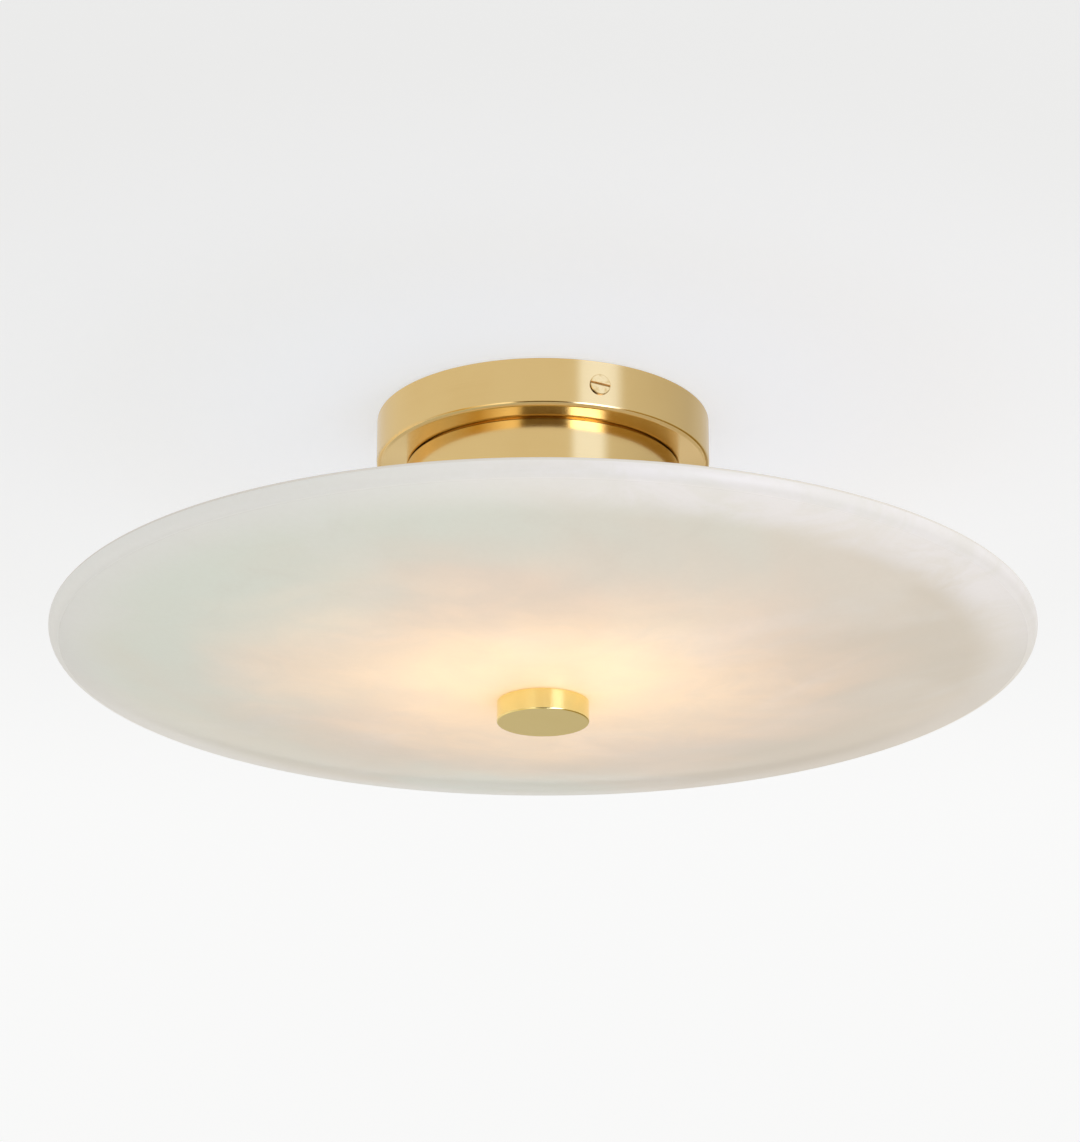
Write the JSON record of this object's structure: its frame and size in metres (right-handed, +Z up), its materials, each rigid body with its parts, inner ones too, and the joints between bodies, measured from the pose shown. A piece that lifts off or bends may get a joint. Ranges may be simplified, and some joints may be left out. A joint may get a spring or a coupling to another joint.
{
  "type": "ceiling light",
  "caption": "Close-to-ceiling light: a shallow domed alabaster dish under a stepped brass housing, held by a flat brass finial on a central rod.",
  "frame": {"origin": "on the light's axis in the ceiling plane, at the centre of the cable hole of the ceiling bracket", "axes": "+Z up along the hanging rod, out of the ceiling face; -Y towards the viewer of the picture; X along the row of the two ceiling slots"},
  "size_m": [0.4, 0.4, 0.1305],
  "materials": {
    "brass": "satin turned brass, lacquered",
    "alabaster": "honed translucent alabaster with soft white clouding",
    "zinc_steel": "zinc plated",
    "aluminium": "bare extruded",
    "black_rubber": "matt",
    "terminal_plastic": "moulded polyamide",
    "driver_plastic": "fine textured moulding",
    "board_white": "white solder mask",
    "led_phosphor": "phosphor coated",
    "connector_plastic": "moulded",
    "opal": "opal acrylic",
    "brown_insulation": "smooth insulation",
    "blue_insulation": "smooth insulation",
    "earth_insulation": "green and yellow striped insulation",
    "red_insulation": "smooth insulation"
  },
  "bodies": {
    "housing": {"ceiling_bracket": "zinc_steel", "earth_screw": "brass", "earth_ring": "zinc_steel", "terminal_block": "terminal_plastic", "terminal_screws": "zinc_steel", "terminal_block_screws": "zinc_steel", "canopy": "brass", "canopy_screws": "brass", "drum": "brass", "drum_screws": "zinc_steel", "canopy_grommet": "black_rubber", "live_lead": "brown_insulation", "neutral_lead": "blue_insulation", "earth_lead": "earth_insulation", "standoffs": "zinc_steel", "driver_case": "driver_plastic", "driver_lid": "driver_plastic", "driver_screws": "zinc_steel", "heat_sink": "aluminium", "heat_sink_screws": "zinc_steel", "heat_sink_grommet": "black_rubber", "led_board": "board_white", "led_chips": "led_phosphor", "led_connector": "connector_plastic", "board_screws": "zinc_steel", "led_leads": "red_insulation", "diffuser": "opal", "snap_ring": "zinc_steel", "hanging_rod": "zinc_steel", "rod_nuts": "zinc_steel", "rod_washers": "zinc_steel"},
    "dish": {"dish": "alabaster", "upper_gasket": "black_rubber", "seat_washer": "brass", "lower_gasket": "black_rubber"},
    "finial": {"finial": "brass"}
  },
  "joints": [
    {"name": "dish_drop", "type": "slide", "parent": "housing", "child": "dish", "axis": [0, 0, -1], "range_m": [0, 0.012]},
    {"name": "finial_turn", "type": "hinge", "parent": "dish", "child": "finial", "pos_m": [0, 0, -0.126], "axis": [0, 0, -1], "range_deg": [0, 4320]}
  ],
  "couplings": [
    {"joint": "finial_turn", "follows": "dish_drop", "rad_per_m": 6283.2}
  ]
}
